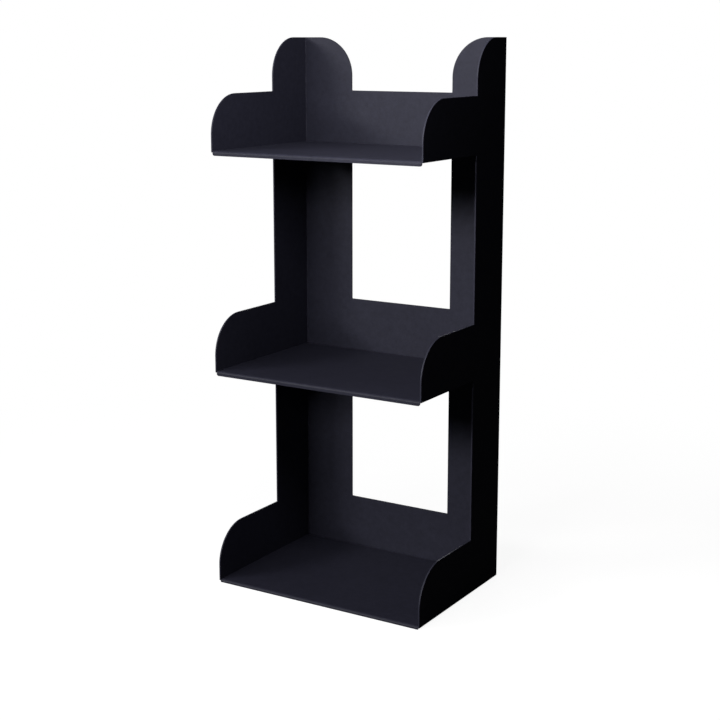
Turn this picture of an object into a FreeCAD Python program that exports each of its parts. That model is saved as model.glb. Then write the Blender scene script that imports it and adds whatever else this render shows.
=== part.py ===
import FreeCAD, Part
import os
import Sketcher

# Open three-tier bookcase of powder-coated sheet steel: one folded carcass and three folded shelves.
# Millimetres, +Z up, front towards -Y. The origin is on the ground under the middle of the outline.

# Driving sizes. Bends are measured at the inside of the fold.
SIZES = {
    "rack_width": 300,
    "rack_depth": 210,
    "rack_height": 700,
    "sheet": 2,
    "inner_bend": 1,
    "strip_depth": 78,
    "window_width": 150,
    "window_gap": 10,
    "wall_height": 69,
    "ear_rise": 69,
    "lobe_radius": 50,
    "ear_radius": 50,
    "edge_lift": 2,
    "lip_drop": 4,
    "lip_corner": 2.8,
    "bend_clearance": 0.5,
}

# The shelves from the ground up
SHELVES = ("bottom_shelf", "middle_shelf", "top_shelf")

# How far a cut runs past the sheet, in millimetres
PAST = 5

# The largest share of a straight edge that the rounding at its end may take
ROUNDING_SHARE = 0.9


class Size:
    """A length with its value in millimetres and the expression that gives it."""

    def __init__(self, value, text):
        self.value = value
        self.text = text

    def __add__(self, other):
        other = as_size(other)
        return Size(self.value + other.value, "(%s + %s)" % (self.text, other.text))

    def __sub__(self, other):
        other = as_size(other)
        return Size(self.value - other.value, "(%s - %s)" % (self.text, other.text))

    def __neg__(self):
        return Size(-self.value, "(0 - %s)" % self.text)

    def __mul__(self, factor):
        return Size(self.value * factor, "(%s * %s)" % (self.text, factor))

    def __truediv__(self, factor):
        return Size(self.value / factor, "(%s / %s)" % (self.text, factor))


def as_size(thing):
    """A Size made from a plain number, or the Size itself."""
    return thing if isinstance(thing, Size) else Size(float(thing), str(thing))


def smallest(*lengths):
    """The smallest of some lengths."""
    texts = "; ".join(length.text for length in lengths)
    return Size(min(length.value for length in lengths), "min(%s)" % texts)


def rounding(radius, *edges):
    """A radius, limited by the straight edges that it rounds off."""
    return smallest(radius, *[edge * ROUNDING_SHARE for edge in edges])


def write_sheet(document):
    """Put the driving sizes in a spreadsheet and return them as lengths by name."""
    sheet = document.addObject("Spreadsheet::Sheet", "sizes")
    lengths = {}
    for row, (name, value) in enumerate(SIZES.items(), start=1):
        sheet.set("A%d" % row, name)
        sheet.set("B%d" % row, str(value))
        sheet.setAlias("B%d" % row, name)
        lengths[name] = Size(float(value), "sizes." + name)
    document.recompute()
    return lengths


def add_derived(size):
    """Add the lengths that follow from the driving sizes."""
    sheet = size["sheet"]
    size["outer_bend"] = size["inner_bend"] + sheet
    size["half_width"] = size["rack_width"] / 2
    size["window_half"] = size["window_width"] / 2

    # Heights from the carcass's lower edge
    size["wall_top"] = sheet + size["wall_height"]
    size["carcass_height"] = size["rack_height"] - size["edge_lift"]
    last_wall_top = size["carcass_height"] - size["ear_rise"]
    size["shelf_pitch"] = (last_wall_top - size["wall_top"]) / (len(SHELVES) - 1)
    size["last_wall_top"] = last_wall_top

    # Radii that stay within the edges that they round off
    ledge = size["rack_depth"] - size["strip_depth"]
    size["lobe_arc"] = rounding(size["lobe_radius"], size["wall_height"], ledge)
    side_strip = size["strip_depth"] - size["outer_bend"]
    back_strip = size["half_width"] - size["outer_bend"] - size["window_half"]
    size["ear_arc"] = rounding(size["ear_radius"], size["ear_rise"], side_strip, back_strip)


def arc_centre(start, end, turn):
    """Centre of the quarter circle from start to end that turns left or right."""
    rising = (end[0].value - start[0].value) * (end[1].value - start[1].value) > 0
    if rising == (turn == "left"):
        return start[0], end[1]
    return end[0], start[1]


def tie_length(sketch, constraint, length):
    """Add a constraint to a sketch and bind it to the expression of a length."""
    index = sketch.addConstraint(constraint)
    sketch.setExpression("Constraints[%d]" % index, length.text)


def pin_point(sketch, line, end, point):
    """Hold one end of a sketch line or arc at a point measured from the sketch's origin."""
    for axis, (kind, length) in enumerate(zip(("DistanceX", "DistanceY"), point)):
        if abs(length.value) < 1e-9:
            zero_line = -2 if axis == 0 else -1
            sketch.addConstraint(Sketcher.Constraint("PointOnObject", line, end, zero_line))
        else:
            datum = Sketcher.Constraint(kind, -1, 1, line, end, length.value)
            tie_length(sketch, datum, length)


def add_arc(sketch, start, end, turn):
    """Draw a quarter circle between two points and tie its radius; return its index and ends."""
    centre = arc_centre(start, end, turn)
    middle = FreeCAD.Vector(centre[0].value, centre[1].value, 0)
    first, last = (start, end) if turn == "left" else (end, start)
    radius = end[0] - start[0] if end[0].value > start[0].value else start[0] - end[0]
    arms = [FreeCAD.Vector(p[0].value, p[1].value, 0) - middle for p in (first, last)]
    angles = [FreeCAD.Vector(1, 0, 0).getAngle(arm) * (1 if arm.y >= 0 else -1) for arm in arms]
    circle = Part.Circle(middle, FreeCAD.Vector(0, 0, 1), radius.value)
    index = sketch.addGeometry(Part.ArcOfCircle(circle, angles[0], angles[1]))
    tie_length(sketch, Sketcher.Constraint("Radius", index, radius.value), radius)
    return (index, 1, 2) if turn == "left" else (index, 2, 1)


def draw_outline(sketch, corners):
    """Draw a closed outline. A corner is (x, y), or (x, y, turn) where a quarter circle
    leaves it that turns left or right."""
    drawn = []
    for corner, following in zip(corners, corners[1:] + corners[:1]):
        start = tuple(as_size(length) for length in corner[:2])
        end = tuple(as_size(length) for length in following[:2])
        if len(corner) == 3:
            piece = add_arc(sketch, start, end, corner[2])
        else:
            line = Part.LineSegment(
                FreeCAD.Vector(start[0].value, start[1].value, 0),
                FreeCAD.Vector(end[0].value, end[1].value, 0))
            piece = (sketch.addGeometry(line), 1, 2)
        drawn.append((piece, start))
    for (piece, start), (following, _) in zip(drawn, drawn[1:] + drawn[:1]):
        index, start_end, far_end = piece
        pin_point(sketch, index, start_end, start)
        sketch.addConstraint(
            Sketcher.Constraint("Coincident", index, far_end, following[0], following[1]))


def add_sketch(body, name, plane_role, outlines):
    """A sketch of one or more closed outlines on an origin plane of the body."""
    sketch = body.newObject("Sketcher::SketchObject", name)
    plane = [feature for feature in body.Origin.OriginFeatures if feature.Role == plane_role][0]
    sketch.AttachmentSupport = [(plane, "")]
    sketch.MapMode = "FlatFace"
    for corners in outlines:
        draw_outline(sketch, corners)
    return sketch


def add_pad(body, name, sketch, length, symmetric):
    """Pad a sketch upwards, or to both sides of its plane."""
    pad = body.newObject("PartDesign::Pad", name)
    pad.Profile = sketch
    pad.SideType = "Symmetric" if symmetric else "One side"
    pad.setExpression("Length", length.text)
    body.Document.recompute()
    return pad


def add_cut(body, name, sketch, length):
    """Cut a sketch to both sides of its plane and make sure that it took material away."""
    before = body.Shape.Volume
    cut = body.newObject("PartDesign::Pocket", name)
    cut.Profile = sketch
    cut.SideType = "Symmetric"
    cut.setExpression("Length", length.text)
    body.Document.recompute()
    if cut.Shape.Volume >= before:
        raise RuntimeError("the cut %s took nothing away" % name)
    return cut


def seat(body, rear, height):
    """Set the body's rear face plane and height in the rack's frame."""
    body.setExpression("Placement.Base.y", rear.text)
    body.setExpression("Placement.Base.z", height.text)


def lobe_front(size, wall_top):
    """Outline points along the rounded upper front corner of a tray's side, from the front up."""
    depth, radius = size["rack_depth"], size["lobe_arc"]
    return [
        (-depth - PAST, wall_top - radius),
        (-depth, wall_top - radius, "right"),
        (radius - depth, wall_top),
    ]


def make_carcass(document, size):
    """Back panel with a side folded forward at each edge, cut to trays, strips and corner ears."""
    depth, sheet, bend = size["rack_depth"], size["sheet"], size["inner_bend"]
    half, outer = size["half_width"], size["outer_bend"]
    inner_half = half - sheet
    height, strip = size["carcass_height"], -size["strip_depth"]
    wall_top, last_wall_top = size["wall_top"], size["last_wall_top"]
    window_half, pitch = size["window_half"], size["shelf_pitch"]
    through_sides = size["rack_width"] + 2 * PAST
    through_back = sheet * 2 + 2 * PAST

    body = document.addObject("PartDesign::Body", "folded_carcass")
    body.Label = "folded_carcass"
    seat(body, depth / 2, size["edge_lift"])

    # The folded channel seen from above, rear face on the local X axis
    channel = add_sketch(body, "channel_section", "XY_Plane", [[
        (-half, -depth),
        (-inner_half, -depth),
        (-inner_half, -outer, "right"),
        (bend - inner_half, -sheet),
        (inner_half - bend, -sheet, "right"),
        (inner_half, -outer),
        (inner_half, -depth),
        (half, -depth),
        (half, -outer, "left"),
        (half - outer, 0),
        (outer - half, 0, "left"),
        (-half, -outer),
    ]])
    add_pad(body, "channel", channel, height, symmetric=False)

    # Above the top tray: side strips with a rounded upper front corner
    ear = size["ear_arc"]
    over_top = add_sketch(body, "over_top_tray_outline", "YZ_Plane", [[
        (strip, last_wall_top),
        (strip, height - ear, "right"),
        (strip + ear, height),
        (strip + ear, height + PAST),
        (-depth - PAST, height + PAST),
    ] + lobe_front(size, last_wall_top)])
    add_cut(body, "over_top_tray", over_top, through_sides)

    # Between the ears: the back panel is open down to the top tray's wall
    notch = add_sketch(body, "notch_outline", "XZ_Plane", [[
        (-window_half, last_wall_top),
        (window_half, last_wall_top),
        (window_half, height - ear, "right"),
        (window_half + ear, height),
        (window_half + ear, height + PAST),
        (-window_half - ear, height + PAST),
        (-window_half - ear, height, "right"),
        (-window_half, height - ear),
    ]])
    add_cut(body, "notch", notch, through_back)

    # The first bay's open sides and its window in the back
    bay = add_sketch(body, "open_side_outline", "YZ_Plane", [[
        (strip, wall_top),
        (strip, pitch),
        (-depth - PAST, pitch),
    ] + lobe_front(size, wall_top)])
    open_sides = add_cut(body, "open_sides", bay, through_sides)
    window_top = pitch - size["window_gap"]
    opening = add_sketch(body, "window_outline", "XZ_Plane", [[
        (-window_half, wall_top),
        (window_half, wall_top),
        (window_half, window_top),
        (-window_half, window_top),
    ]])
    window = add_cut(body, "window", opening, through_back)

    # The same again in each bay above
    bays = body.newObject("PartDesign::LinearPattern", "bays")
    bays.Originals = [open_sides, window]
    bays.Direction = (opening, ["V_Axis"])
    bays.Occurrences = len(SHELVES) - 1
    bays.setExpression("Length", (pitch * (len(SHELVES) - 2)).text)
    body.Tip = bays
    document.recompute()
    if bays.Shape.Volume >= window.Shape.Volume:
        raise RuntimeError("the upper bays took nothing away")
    return body


def lip_corner_edges(shape, half_width, lowest):
    """Names of the two short edges at the lower ends of the front lip."""
    front = shape.BoundBox.YMin
    names = []
    for number, edge in enumerate(shape.Edges, start=1):
        centre = edge.BoundBox.Center
        at_end = abs(abs(centre.x) - half_width) < 1e-6
        at_bottom = abs(centre.z - lowest) < 1e-6
        at_front = abs(edge.BoundBox.YMin - front) < 1e-6
        if at_end and at_bottom and at_front and edge.BoundBox.ZLength < 1e-6:
            names.append("Edge%d" % number)
    return names


def make_shelf(document, size, name, level):
    """Shelf plate between the sides, folded down at the front and rear edges."""
    depth, sheet = size["rack_depth"], size["sheet"]
    drop = size["edge_lift"] if level == 0 else size["lip_drop"]
    bend = smallest(size["inner_bend"], drop / 2)
    outer = bend + sheet
    lowest = -sheet - drop
    half_width = size["half_width"] - sheet
    relief = size["inner_bend"] + size["bend_clearance"]

    body = document.addObject("PartDesign::Body", name)
    body.Label = name
    top = size["edge_lift"] + sheet + size["shelf_pitch"] * level
    seat(body, depth / 2, top)

    # The folded plate seen from the side, top surface on the local Y axis
    section = add_sketch(body, name + "_section", "YZ_Plane", [[
        (-depth, lowest),
        (-depth, -outer, "right"),
        (outer - depth, 0),
        (-sheet - outer, 0, "right"),
        (-sheet, -outer),
        (-sheet, lowest),
        (-sheet * 2, lowest),
        (-sheet * 2, -outer, "left"),
        (-sheet * 2 - bend, -sheet),
        (sheet + bend - depth, -sheet, "left"),
        (sheet - depth, -outer),
        (sheet - depth, lowest),
    ]])
    add_pad(body, name + "_plate", section, half_width * 2, symmetric=True)

    # Notches that clear the carcass's rear bends
    notch_front = -sheet * 2 - relief
    notches = []
    for side in (-1, 1):
        inner_x = (half_width - relief) * side
        outer_x = (half_width + PAST) * side
        notches.append([
            (inner_x, notch_front),
            (outer_x, notch_front),
            (outer_x, as_size(PAST)),
            (inner_x, as_size(PAST)),
        ])
    reliefs = add_sketch(body, name + "_relief_outline", "XY_Plane", notches)
    cut = add_cut(body, name + "_reliefs", reliefs, (sheet + drop) * 2 + 2 * PAST)

    # Rounded lower corners of the front lip
    corners = body.newObject("PartDesign::Fillet", name + "_lip_corners")
    edges = lip_corner_edges(cut.Shape, half_width.value, lowest.value)
    corners.Base = (cut, edges)
    radius = rounding(size["lip_corner"], drop - bend)
    corners.setExpression("Radius", radius.text)
    document.recompute()
    if len(edges) != 2 or corners.Shape.Volume >= cut.Shape.Volume:
        raise RuntimeError("the lip of %s kept its square corners" % name)
    return body


def check_document(document, bodies):
    """Stop before anything is written if a feature failed or a piece is not one valid solid."""
    for item in document.Objects:
        if "Invalid" in item.State or "Error" in item.State:
            raise RuntimeError("%s failed: %s" % (item.Name, item.State))
    for body in bodies:
        shape = body.Shape
        if shape.isNull() or not shape.isValid() or len(shape.Solids) != 1:
            raise RuntimeError("%s is not one valid solid" % body.Label)


def main():
    document = FreeCAD.newDocument("bookcase")
    size = write_sheet(document)
    add_derived(size)
    bodies = [make_carcass(document, size)]
    for level, name in enumerate(SHELVES):
        bodies.append(make_shelf(document, size, name, level))
    document.recompute()
    check_document(document, bodies)
    os.makedirs("parts", exist_ok=True)
    for body in bodies:
        body.Shape.exportStep("parts/%s.step" % body.Label)
        box = body.Shape.BoundBox
        print("%-16s %9.0f mm3   x %.1f to %.1f   y %.1f to %.1f   z %.1f to %.1f" % (
            body.Label, body.Shape.Volume, box.XMin, box.XMax, box.YMin, box.YMax, box.ZMin, box.ZMax))


main()
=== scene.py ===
"""Dressed model of an open bookcase of folded, powder-coated sheet steel, with its stage and
camera."""
import math

import bpy
import numpy as np
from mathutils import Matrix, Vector
from mathutils.geometry import delaunay_2d_cdt


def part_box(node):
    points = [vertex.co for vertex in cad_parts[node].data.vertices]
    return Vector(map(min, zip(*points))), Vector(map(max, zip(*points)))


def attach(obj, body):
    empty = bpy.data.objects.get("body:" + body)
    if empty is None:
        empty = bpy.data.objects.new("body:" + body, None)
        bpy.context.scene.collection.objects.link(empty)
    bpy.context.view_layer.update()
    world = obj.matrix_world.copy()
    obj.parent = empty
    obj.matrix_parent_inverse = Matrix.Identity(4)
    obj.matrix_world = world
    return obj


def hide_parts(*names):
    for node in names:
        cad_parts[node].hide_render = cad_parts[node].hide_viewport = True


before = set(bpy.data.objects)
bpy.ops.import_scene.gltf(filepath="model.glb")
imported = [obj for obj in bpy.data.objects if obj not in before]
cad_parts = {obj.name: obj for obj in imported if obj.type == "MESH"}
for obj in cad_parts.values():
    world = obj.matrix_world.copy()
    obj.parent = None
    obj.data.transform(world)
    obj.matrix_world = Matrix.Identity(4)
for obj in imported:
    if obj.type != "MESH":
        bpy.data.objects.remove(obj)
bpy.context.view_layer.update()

# Sheet steel, in metres. A bend's length is measured on the outer face
SHEET = 0.002
OUTER_BEND = 0.003
QUARTER_TURN = math.pi / 2
BEND_LENGTH = OUTER_BEND * QUARTER_TURN

# Outline of the carcass's blank
STRIP_DEPTH = 0.078
WINDOW_HALF = 0.075
WINDOW_GAP = 0.010
WALL_HEIGHT = 0.069
BIG_RADIUS = 0.050

# Ends of the shelf plates
SHELVES = ("bottom_shelf", "middle_shelf", "top_shelf")
RELIEF = 0.0015
ROUNDING_SHARE = 0.9
LIP_CORNER = 0.0028

# The coat rounds every cut edge. Within a short reach of it the coat is painted paler, partly as
# thinned coat and partly as a painted highlight
COAT_ROUND = 0.00035
CUT_CORNER = 0.0008
PALE_EDGE_REACH = 0.00075

# Fineness of the meshes
BEND_STEPS = 8
ROUND_STEPS = 3
SMALL_CORNER_STEPS = 4
BIG_CORNER_STEPS = 40
BIG_CORNER_FROM = 0.010
LONGEST_STEP = 0.025
SAME_PLACE = 1e-9

# Noises of the powder coat: scale, detail, roughness
COAT_NOISES = {
    "drift": (9.0, 3.0, 0.5),
    "grain": (1500.0, 2.0, 0.6),
    "peel": (420.0, 1.0, 0.4),
    "mottle": (150.0, 3.0, 0.7)}

# Relief of the coat from the lowest layer to the top one: noise, height in metres, strength
COAT_RELIEF = (
    ("mottle", 0.00016, 0.8),
    ("peel", 0.00003, 0.6),
    ("grain", 0.000012, 0.6))

DEEP_TONE = (0.0265, 0.0265, 0.0430, 1)
CLEAR_TONE = (0.0335, 0.0335, 0.0545, 1)
# Paler tone at the cut edges and its share: partly thinned coat, partly a painted highlight along
# the rims
THINNED_AND_HIGHLIT_TONE = (0.052, 0.052, 0.080, 1)
GRAIN_SHADE = (0.88, 1.12)
MOTTLE_SHADE = (0.68, 1.32)
THINNED_AND_HIGHLIT_SHARE = 0.35
COAT_ROUGHNESS = (0.5, 0.6)
COAT_GLOSS = 0.25

# Floor: half its side, how far the shadow shows, its greys and its glow
FLOOR_REACH = 40.0
SHADOW_FULL, SHADOW_GONE = 0.35, 1.1
FLOOR_GREY = (0.25, 0.25, 0.25, 1)
FLOOR_GLOW = 0.92
UNSEEN_FLOOR_GREY = (0.05, 0.05, 0.05, 1)
WHITE = (1, 1, 1, 1)
EVEN_LIGHT = 0.006

# Lamps: name, place, width, height, power. All face the middle of the rack, and the back lamp
# is too low to shine through the windows onto the shelves
LAMP_AIM = (0, 0, 0.4)
LAMPS = (
    ("far_left_lamp", (-2.2, -2.55, 1.68), 1.4, 0.5, 49),
    ("front_lamp", (-0.4, -2.6, 1.38), 1.6, 0.5, 20),
    ("near_lamp", (0.14, -0.45, 0.75), 0.2, 0.2, 1.1),
    ("top_lamp", (0.1, -0.1, 1.0), 0.2, 0.2, 0.8),
    ("back_lamp", (-1.1, 2.4, 0.45), 1.2, 0.5, 18))

# Camera: place, and turn with a dip of 10.951 degrees below level
CAMERA_PLACE = (0.9410, -1.5210, 0.6973)
CAMERA_TURN = (math.radians(90 - 10.951), 0, math.radians(31.705))
CAMERA_LENS = 71.711
CAMERA_SENSOR = 36.0
CAMERA_SHIFT = -0.0600
CAMERA_SIGHT = 200


# Blanks: closed outlines in the flat, the metal on their left

def split_edge(start, end, breaks):
    """Points along a straight edge: its start, where it crosses a fold line, and even steps
    between that keep clear of the crossings."""
    length = np.linalg.norm(end - start)
    shares = np.linspace(0, 1, int(np.ceil(length / LONGEST_STEP)) + 1)[:-1]
    run = end[0] - start[0]
    if abs(run) > SAME_PLACE:
        crossings = (breaks - start[0]) / run
        crossings = crossings[(crossings > 0) & (crossings < 1)]
        clear = np.abs(shares[:, None] - crossings[None, :]) * length > OUTER_BEND
        shares = np.union1d(shares[clear.all(axis=1) | (shares == 0)], crossings)
    return start + shares[:, None] * (end - start)


def blank_outline(corners, breaks):
    """Points of a closed outline and the direction out of the metal at each. Every corner is a
    quarter circle about a centre that lies its radius in from both edges."""
    corners = np.array(corners, dtype=float)
    spots, radii = corners[:, :2], corners[:, 2:]
    back = np.roll(spots, 1, axis=0) - spots
    ahead = np.roll(spots, -1, axis=0) - spots
    back /= np.linalg.norm(back, axis=1, keepdims=True)
    ahead /= np.linalg.norm(ahead, axis=1, keepdims=True)
    turns_left = np.sign(ahead[:, 1] * back[:, 0] - ahead[:, 0] * back[:, 1]) > 0
    leaving = spots + radii * ahead
    arriving = spots + radii * back
    points, outward = [], []
    for i in range(len(corners)):
        j = (i + 1) % len(corners)
        steps = BIG_CORNER_STEPS if radii[i, 0] > BIG_CORNER_FROM else SMALL_CORNER_STEPS
        turn = np.linspace(0, QUARTER_TURN, steps + 1)[:-1, None]
        inward = np.cos(turn) * ahead[i] + np.sin(turn) * back[i]
        centre = spots[i] + radii[i] * (back[i] + ahead[i])
        points.append(centre - radii[i] * inward)
        outward.append(inward if turns_left[i] else -inward)
        edge = split_edge(leaving[i], arriving[j], breaks)
        points.append(edge)
        outward.append(np.repeat([[ahead[i][1], -ahead[i][0]]], len(edge), axis=0))
    return np.concatenate(points), np.concatenate(outward)


def mirrored(corners, middle):
    """A row of corners and its mirror image in the middle of the blank, as one row."""
    return corners + [(2 * middle - along, up, radius) for along, up, radius in reversed(corners)]


# Folding: a sheet's outer face goes straight, turns right, and goes straight again

def fold_lines(runs):
    """Places along the blank where a bend is split, given the straight runs between the bends."""
    lines, place = [], 0.0
    for run in runs[:-1]:
        place += run
        lines.append(place + np.linspace(0, BEND_LENGTH, BEND_STEPS + 1))
        place += BEND_LENGTH
    return np.concatenate(lines)


def fold(along, runs, start, heading):
    """Point and heading on the folded outer face at a distance along the blank. A run adds its
    own length straight ahead, and a bend adds its chord on a circle of the outer bend radius."""
    point = np.empty(along.shape + (2,))
    point[...] = start
    angle = np.full(along.shape, float(heading))
    place = 0.0
    for number, run in enumerate(runs):
        ahead = heading - number * QUARTER_TURN
        point += np.clip(along - place, 0, run)[:, None] * [math.cos(ahead), math.sin(ahead)]
        place += run
        if number + 1 < len(runs):
            turn = np.clip((along - place) / OUTER_BEND, 0, QUARTER_TURN)
            chord = np.stack([
                math.sin(ahead) - np.sin(ahead - turn),
                np.cos(ahead - turn) - math.cos(ahead)], axis=1)
            point += OUTER_BEND * chord
            angle -= turn
            place += BEND_LENGTH
    return point, angle


def rim_profile():
    """Inset, depth, slope and edge paleness of a rim, in rows from the outer face round to the
    inner face:
    a quarter circle of the coat's rounding, the cut edge, and a quarter circle again. The
    paleness, partly thinned coat and partly a painted highlight, grows from a half at the faces to
    one at the cut edge, as the sine of the turn."""
    turn = np.linspace(0, QUARTER_TURN, ROUND_STEPS + 1)
    inset = COAT_ROUND * (1 - np.sin(turn))
    depth = COAT_ROUND * (1 - np.cos(turn))
    wear_and_highlight = np.sin(turn) * 0.5 + 0.5
    return np.stack([
        np.concatenate([inset, inset[::-1]]),
        np.concatenate([depth, SHEET - depth[::-1]]),
        np.concatenate([turn, math.pi - turn[::-1]]),
        np.concatenate([wear_and_highlight, wear_and_highlight[::-1]])], axis=1)


def plate_faces(loops, lines):
    """Triangles inside the first outline of a blank and outside the others, whose edges follow
    the fold lines."""
    flat = np.concatenate(loops)
    loop_ids, first = [], 0
    for loop in loops:
        loop_ids.append(np.arange(first, first + len(loop)))
        first += len(loop)
    edges = [(int(a), int(b)) for ids in loop_ids for a, b in zip(ids, np.roll(ids, -1))]
    extra = []
    for line in lines:
        ends = np.nonzero(np.abs(flat[:, 0] - line) < SAME_PLACE)[0]
        low, high = ends[np.argmin(flat[ends, 1])], ends[np.argmax(flat[ends, 1])]
        count = int(np.ceil((flat[high, 1] - flat[low, 1]) / LONGEST_STEP))
        between = np.linspace(flat[low], flat[high], count + 1)[1:-1]
        ids = [int(low)] + list(range(first, first + len(between))) + [int(high)]
        edges += list(zip(ids[:-1], ids[1:]))
        extra.append(between)
        first += len(between)
    flat = np.concatenate([flat] + extra)
    regions = [loop_ids[0].tolist()] + [ids[::-1].tolist() for ids in loop_ids[1:]]
    found = delaunay_2d_cdt(flat.tolist(), edges, regions, 1, SAME_PLACE)
    if len(found[0]) != len(flat):
        raise RuntimeError("the blank's outline crosses itself")
    inside = [face for face, within in zip(found[2], found[5]) if set(within) == {0}]
    return flat, np.array(inside)


def flat_sheet(rims, lines):
    """A sheet before it is folded: both faces, then the rings of each rim between them. Gives for
    every point its spot on the blank, depth below the outer face, slope, direction out of the
    metal and edge paleness (partly thinned coat, partly a painted highlight), and then the faces."""
    flat, plate = plate_faces([points - PALE_EDGE_REACH * out for points, out in rims], lines)
    count = len(flat)
    spots, depth = [flat, flat], [np.zeros(count), np.full(count, SHEET)]
    slope, lean = [np.zeros(count), np.full(count, math.pi)], [np.zeros((count, 2))] * 2
    wear_and_highlight = [np.zeros(count)] * 2
    faces = plate[:, ::-1].tolist() + (plate + count).tolist()
    first, loop_start = 2 * count, 0
    for points, out in rims:
        size = len(points)
        ids = np.arange(size)
        rings = [loop_start + ids]
        for inset, deep, tilt, edge_pale_amount in rim_profile():
            spots.append(points - inset * out)
            depth.append(np.full(size, deep))
            slope.append(np.full(size, tilt))
            lean.append(out)
            wear_and_highlight.append(np.full(size, edge_pale_amount))
            rings.append(first + ids)
            first += size
        rings.append(count + loop_start + ids)
        for ring, following in zip(rings, rings[1:]):
            quads = [ring, np.roll(ring, -1), np.roll(following, -1), following]
            faces += np.stack(quads, axis=1).tolist()
        loop_start += size
    return [np.concatenate(rows) for rows in (spots, depth, slope, lean, wear_and_highlight)] + [faces]


def folded_sheet(name, runs, start, place, outlines):
    """A piece of sheet that is cut to its outlines and folded. A point at a distance along the
    blank and up it, and at a depth below the outer face, lands on the folded face less that depth
    along the face's normal. place turns the fold's plane and the way up into the rack's frame."""
    lines = fold_lines(runs)
    rims = [blank_outline(corners, lines) for corners in outlines]
    spots, depth, slope, lean, wear_and_highlight, faces = flat_sheet(rims, lines)

    point, angle = fold(spots[:, 0], runs, start, QUARTER_TURN)
    ahead = np.stack([np.cos(angle), np.sin(angle)], axis=1)
    normal = np.stack([-np.sin(angle), np.cos(angle)], axis=1)
    in_plane = point - depth[:, None] * normal
    up = spots[:, 1:]
    tilt = np.sin(slope)[:, None]
    facing = np.cos(slope)[:, None] * normal + tilt * lean[:, :1] * ahead
    points = place(np.concatenate([in_plane, up], axis=1))
    normals = place(np.concatenate([facing, tilt * lean[:, 1:]], axis=1))

    mesh = bpy.data.meshes.new(name)
    mesh.from_pydata(points.tolist(), [], faces)
    # Edge paleness per point: partly thinned coat, partly a painted highlight along the rims
    mesh.attributes.new("worn_and_highlit", "FLOAT", "POINT").data.foreach_set("value", wear_and_highlight)
    mesh.shade_smooth()
    mesh.normals_split_custom_set_from_vertices(normals.tolist())
    piece = bpy.data.objects.new(name, mesh)
    bpy.context.scene.collection.objects.link(piece)
    return piece


def upright(points):
    """Places a plan and a height: across, back, up."""
    return points


def crosswise(points):
    """Places a side view and a distance to the right: back, up, across."""
    return points[:, [2, 0, 1]]


# The pieces

def make_carcass():
    """Both sides and the back in one folded blank, with three trays' walls on each side."""
    low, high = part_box("folded_carcass")
    side_run = high[1] - low[1] - OUTER_BEND
    back_run = high[0] - low[0] - 2 * OUTER_BEND
    runs = (side_run, back_run, side_run)
    total = sum(runs) + 2 * BEND_LENGTH
    middle = total / 2
    strip = total - (high[1] - low[1] - STRIP_DEPTH)
    floors = [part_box(node)[1][2] - SHEET for node in SHELVES]
    tops = [floor + SHEET + WALL_HEIGHT for floor in floors]

    right = [(total, low[2], CUT_CORNER)]
    for floor, top in zip(floors, tops):
        if floor > floors[0]:
            right += [(strip, floor, CUT_CORNER), (total, floor, CUT_CORNER)]
        right += [(total, top, BIG_RADIUS), (strip, top, CUT_CORNER)]
    right += [
        (strip, high[2], BIG_RADIUS),
        (middle + WINDOW_HALF, high[2], BIG_RADIUS),
        (middle + WINDOW_HALF, tops[-1], CUT_CORNER)]
    outlines = [mirrored(right, middle)]
    for sill, floor_above in zip(tops, floors[1:]):
        head = floor_above - WINDOW_GAP
        outlines.append([
            (middle - WINDOW_HALF, sill, CUT_CORNER),
            (middle - WINDOW_HALF, head, CUT_CORNER),
            (middle + WINDOW_HALF, head, CUT_CORNER),
            (middle + WINDOW_HALF, sill, CUT_CORNER)])
    return folded_sheet("carcass_sheet", runs, (low[0], low[1]), upright, outlines)


def make_shelf(node, name):
    """Plate between the sides, folded down at the front and rear, notched at the rear corners.
    The notch reaches in past the rear flange's thickness by the relief."""
    low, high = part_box(node)
    flat = high[2] - low[2] - OUTER_BEND
    plate_run = high[1] - low[1] - 2 * OUTER_BEND
    runs = (flat, plate_run, flat)
    total = sum(runs) + 2 * BEND_LENGTH
    notch = total - flat - BEND_LENGTH - (SHEET + RELIEF - OUTER_BEND)
    lip_round = min(LIP_CORNER, flat * ROUNDING_SHARE)
    half = high[0]
    corners = [
        (0, -half, lip_round),
        (notch, -half, CUT_CORNER),
        (notch, RELIEF - half, CUT_CORNER / 2),
        (total, RELIEF - half, CUT_CORNER)]
    corners += [(along, -up, radius) for along, up, radius in reversed(corners)]
    return folded_sheet(name, runs, (low[1], low[2]), crosswise, [corners])


# Finish

def node_at(tree, kind, **settings):
    """A new shader node whose inputs or properties are set from the given values."""
    node = tree.nodes.new(kind)
    for key, value in settings.items():
        if key in node.inputs:
            node.inputs[key].default_value = value
        else:
            setattr(node, key, value)
    return node


def empty_tree(holder):
    """The node tree of a material or world, with its starting nodes cleared away."""
    holder.use_nodes = True
    holder.node_tree.nodes.clear()
    return holder.node_tree


def spread(tree, source, ends):
    """A value from 0 to 1 spread evenly between two ends."""
    node = node_at(tree, "ShaderNodeMapRange", **{"To Min": ends[0], "To Max": ends[1]})
    tree.links.new(source, node.inputs["Value"])
    return node.outputs["Result"]


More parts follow.
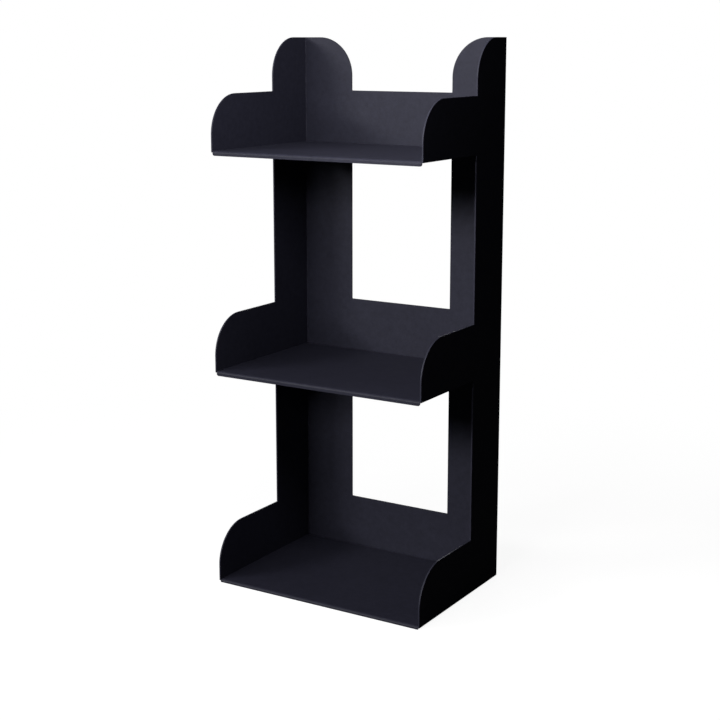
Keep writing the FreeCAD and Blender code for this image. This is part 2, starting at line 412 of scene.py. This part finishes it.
def powder_coat():
    """Satin blue-black powder coat. Its colour drifts slowly between two tones, and a mottle and a
    fine grain shade it. Its surface is a low swell under orange peel under grain. Where it rounds
    the cut edges it is painted paler, partly as thinner coat and partly as a painted highlight."""
    material = bpy.data.materials.new("satin_powder_coat")
    tree = empty_tree(material)
    link = tree.links.new
    place = node_at(tree, "ShaderNodeTexCoord").outputs["Object"]
    noises = {}
    for name, (scale, detail, roughness) in COAT_NOISES.items():
        noise = node_at(
            tree, "ShaderNodeTexNoise", Scale=scale, Detail=detail, Roughness=roughness)
        link(place, noise.inputs["Vector"])
        noises[name] = noise.outputs["Fac"]

    tone = node_at(tree, "ShaderNodeMix", data_type="RGBA")
    tone.inputs["A"].default_value = DEEP_TONE
    tone.inputs["B"].default_value = CLEAR_TONE
    link(noises["drift"], tone.inputs["Factor"])

    depth = node_at(tree, "ShaderNodeMath", operation="MULTIPLY")
    link(spread(tree, noises["grain"], GRAIN_SHADE), depth.inputs[0])
    link(spread(tree, noises["mottle"], MOTTLE_SHADE), depth.inputs[1])
    shade = node_at(tree, "ShaderNodeMix", data_type="RGBA", blend_type="MULTIPLY")
    shade.inputs["Factor"].default_value = 1
    link(tone.outputs["Result"], shade.inputs["A"])
    link(depth.outputs["Value"], shade.inputs["B"])

    # Paler edges: partly thinned coat, partly a painted highlight along the rounded rims
    worn_and_highlit = node_at(tree, "ShaderNodeAttribute", attribute_name="worn_and_highlit")
    edge_pale_amount = node_at(tree, "ShaderNodeMath", operation="MULTIPLY")
    edge_pale_amount.inputs[1].default_value = THINNED_AND_HIGHLIT_SHARE
    link(worn_and_highlit.outputs["Fac"], edge_pale_amount.inputs[0])
    edge = node_at(tree, "ShaderNodeMix", data_type="RGBA")
    edge.inputs["B"].default_value = THINNED_AND_HIGHLIT_TONE
    link(edge_pale_amount.outputs["Value"], edge.inputs["Factor"])
    link(shade.outputs["Result"], edge.inputs["A"])

    coat = node_at(tree, "ShaderNodeBsdfPrincipled", **{"Specular IOR Level": COAT_GLOSS})
    link(edge.outputs["Result"], coat.inputs["Base Color"])
    link(spread(tree, noises["drift"], COAT_ROUGHNESS), coat.inputs["Roughness"])
    facing = coat.inputs["Normal"]
    for name, height, strength in reversed(COAT_RELIEF):
        bump = node_at(tree, "ShaderNodeBump", Distance=height, Strength=strength)
        link(noises[name], bump.inputs["Height"])
        link(bump.outputs["Normal"], facing)
        facing = bump.inputs["Normal"]
    output = node_at(tree, "ShaderNodeOutputMaterial")
    link(coat.outputs["BSDF"], output.inputs["Surface"])
    return material


# Stage, lamps and camera

def make_floor():
    """Plain white floor. Near the rack the camera sees its soft shadow, and further off only
    white. Every other ray meets a dark matt floor, which throws little light back up."""
    mesh = bpy.data.meshes.new("stage_floor")
    corners = [(-1, -1, 0), (1, -1, 0), (1, 1, 0), (-1, 1, 0)]
    mesh.from_pydata((FLOOR_REACH * np.array(corners)).tolist(), [], [(0, 1, 2, 3)])
    floor = bpy.data.objects.new("stage_floor", mesh)
    bpy.context.scene.collection.objects.link(floor)
    material = bpy.data.materials.new("white_floor")
    tree = empty_tree(material)
    link = tree.links.new

    unseen = node_at(tree, "ShaderNodeBsdfDiffuse", Color=UNSEEN_FLOOR_GREY)
    lit = node_at(tree, "ShaderNodeBsdfDiffuse", Color=FLOOR_GREY)
    glow = node_at(tree, "ShaderNodeEmission", Strength=FLOOR_GLOW)
    near = node_at(tree, "ShaderNodeAddShader")
    link(lit.outputs[0], near.inputs[0])
    link(glow.outputs[0], near.inputs[1])

    place = node_at(tree, "ShaderNodeTexCoord").outputs["Object"]
    away = node_at(tree, "ShaderNodeVectorMath", operation="LENGTH")
    link(place, away.inputs[0])
    fade = node_at(
        tree, "ShaderNodeMapRange", interpolation_type="SMOOTHSTEP",
        **{"From Min": SHADOW_FULL, "From Max": SHADOW_GONE})
    link(away.outputs["Value"], fade.inputs["Value"])
    white = node_at(tree, "ShaderNodeEmission", Strength=1.0)
    seen = node_at(tree, "ShaderNodeMixShader")
    link(fade.outputs["Result"], seen.inputs[0])
    link(near.outputs[0], seen.inputs[1])
    link(white.outputs[0], seen.inputs[2])

    ray = node_at(tree, "ShaderNodeLightPath")
    pick = node_at(tree, "ShaderNodeMixShader")
    link(ray.outputs["Is Camera Ray"], pick.inputs[0])
    link(unseen.outputs[0], pick.inputs[1])
    link(seen.outputs[0], pick.inputs[2])
    output = node_at(tree, "ShaderNodeOutputMaterial")
    link(pick.outputs[0], output.inputs["Surface"])
    mesh.materials.append(material)


def make_lamp(name, place, width, height, power):
    """Rectangular soft lamp that faces the middle of the rack."""
    data = bpy.data.lights.new(name, "AREA")
    data.shape = "RECTANGLE"
    data.size, data.size_y = width, height
    data.energy = power
    lamp = bpy.data.objects.new(name, data)
    lamp.location = place
    lamp.rotation_euler = (Vector(LAMP_AIM) - Vector(place)).to_track_quat("-Z", "Y").to_euler()
    bpy.context.scene.collection.objects.link(lamp)


def make_world():
    """White behind the floor for the camera, and a faint even light for everything else."""
    world = bpy.data.worlds.new("studio")
    bpy.context.scene.world = world
    tree = empty_tree(world)
    link = tree.links.new
    ray = node_at(tree, "ShaderNodeLightPath")
    white = node_at(tree, "ShaderNodeBackground", Color=WHITE, Strength=1.0)
    faint = node_at(tree, "ShaderNodeBackground", Color=WHITE, Strength=EVEN_LIGHT)
    pick = node_at(tree, "ShaderNodeMixShader")
    link(ray.outputs["Is Camera Ray"], pick.inputs[0])
    link(faint.outputs[0], pick.inputs[1])
    link(white.outputs[0], pick.inputs[2])
    output = node_at(tree, "ShaderNodeOutputWorld")
    link(pick.outputs[0], output.inputs["Surface"])


def make_camera():
    """Camera at the photograph's place: right of the front, as high as the rack."""
    data = bpy.data.cameras.new("camera")
    data.sensor_width = CAMERA_SENSOR
    data.lens = CAMERA_LENS
    data.shift_y = CAMERA_SHIFT
    data.clip_end = CAMERA_SIGHT
    camera = bpy.data.objects.new("camera", data)
    camera.location = CAMERA_PLACE
    camera.rotation_euler = CAMERA_TURN
    bpy.context.scene.collection.objects.link(camera)
    bpy.context.scene.camera = camera


coat = powder_coat()
pieces = {"folded_carcass": make_carcass()}
for node in SHELVES:
    pieces[node] = make_shelf(node, node + "_sheet")
for node, piece in pieces.items():
    piece.data.materials.append(coat)
    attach(piece, "root")
    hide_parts(node)

make_floor()
for lamp in LAMPS:
    make_lamp(*lamp)
make_world()
make_camera()
bpy.context.scene.view_settings.view_transform = "Standard"
